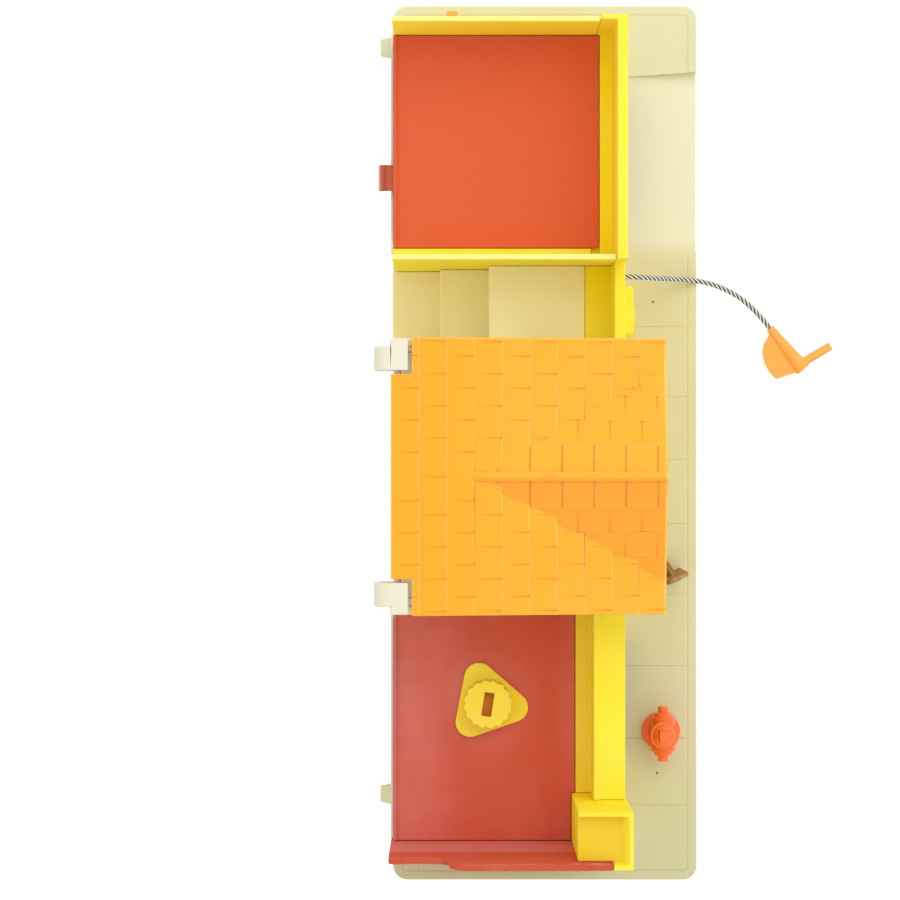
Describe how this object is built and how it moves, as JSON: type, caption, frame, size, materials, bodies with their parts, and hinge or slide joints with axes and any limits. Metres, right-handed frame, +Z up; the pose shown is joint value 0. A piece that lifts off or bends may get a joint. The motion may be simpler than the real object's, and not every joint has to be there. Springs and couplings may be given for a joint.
{
  "type": "toy street building",
  "caption": "Moulded play street with a garage, stairs, a house under a hinged shingled roof and a shop with a turning display on a paved base.",
  "frame": {"origin": "centre of the base's underside, on the floor", "axes": "+X along the street towards the garage end, -Y to the street, +Z up"},
  "size_m": [0.6, 0.3114, 0.182],
  "materials": {
    "cream_plastic": "satin moulded",
    "board": "pressed board, matt",
    "steel": "plain",
    "yellow_plastic": "glossy moulded",
    "ivory_plastic": "glossy moulded",
    "orange_plastic": "glossy moulded, shingle relief",
    "red_plastic": "glossy moulded",
    "white_panel": "smooth sheet",
    "hydrant_orange": "glossy moulded",
    "pale_orange": "glossy moulded",
    "brown_plastic": "matt moulded",
    "cord": "two-colour twisted cord"
  },
  "bodies": {
    "building": {"base_tray": "cream_plastic", "base_plate": "board", "base_screws": "steel", "wall_screws": "steel", "front_wall": "yellow_plastic", "right_end_wall": "yellow_plastic", "right_cross_wall": "yellow_plastic", "corner_tower": "yellow_plastic", "house_right_wall": "ivory_plastic", "house_left_wall": "ivory_plastic", "gable_wall": "ivory_plastic", "upper_floor": "ivory_plastic", "stairs": "cream_plastic", "roof_hinge_rod": "steel", "left_deck": "red_plastic", "left_end_wall": "red_plastic", "right_door_pin": "steel", "left_door_pin": "steel", "pump_housing": "yellow_plastic", "rope": "cord", "rope_grommet": "yellow_plastic", "rope_knot": "cord", "nozzle": "pale_orange"},
    "roof": {"roof": "orange_plastic"},
    "display": {"display_column": "white_panel", "turn_plate": "yellow_plastic", "turn_knob": "yellow_plastic"},
    "pump_dial": {"pump_dial": "yellow_plastic", "dial_clip": "steel"},
    "wall_knob": {"wall_knob": "hydrant_orange", "wall_knob_clip": "steel"},
    "right_rear_door": {"right_rear_door": "white_panel", "right_door_pull": "cream_plastic"},
    "left_rear_door": {"left_rear_door": "white_panel", "left_door_pull": "cream_plastic"},
    "right_deck": {"right_deck": "red_plastic"},
    "hydrant": {"hydrant": "hydrant_orange"},
    "street_sign": {"street_sign": "brown_plastic"}
  },
  "joints": [
    {"name": "roof_hinge", "type": "hinge", "parent": "building", "child": "roof", "pos_m": [0, 0.0975, 0.175], "axis": [-1, 0, 0], "range_deg": [0, 115]},
    {"name": "display_turn", "type": "hinge", "parent": "building", "child": "display", "pos_m": [-0.17079, 0.04051, 0.05], "axis": [0, 0, 1], "continuous": true},
    {"name": "pump_dial_turn", "type": "hinge", "parent": "building", "child": "pump_dial", "pos_m": [0.082, -0.0563, 0.058], "axis": [0, -1, 0], "continuous": true},
    {"name": "wall_knob_turn", "type": "hinge", "parent": "building", "child": "wall_knob", "pos_m": [0.2716, 0.0638, 0.07], "axis": [1, 0, 0], "continuous": true},
    {"name": "right_door_swing", "type": "hinge", "parent": "building", "child": "right_rear_door", "pos_m": [0.1255, 0.1004, 0.046], "axis": [0, 0, 1], "range_deg": [0, 110]},
    {"name": "left_door_swing", "type": "hinge", "parent": "building", "child": "left_rear_door", "pos_m": [-0.1128, 0.1004, 0.046], "axis": [0, 0, -1], "range_deg": [0, 110]},
    {"name": "right_deck_lift", "type": "slide", "parent": "building", "child": "right_deck", "axis": [0, 0, 1], "range_m": [0, 0.12]},
    {"name": "hydrant_lift", "type": "slide", "parent": "building", "child": "hydrant", "axis": [0, 0, 1], "range_m": [0, 0.1]},
    {"name": "street_sign_lift", "type": "slide", "parent": "building", "child": "street_sign", "axis": [0, 0, 1], "range_m": [0, 0.1]}
  ]
}
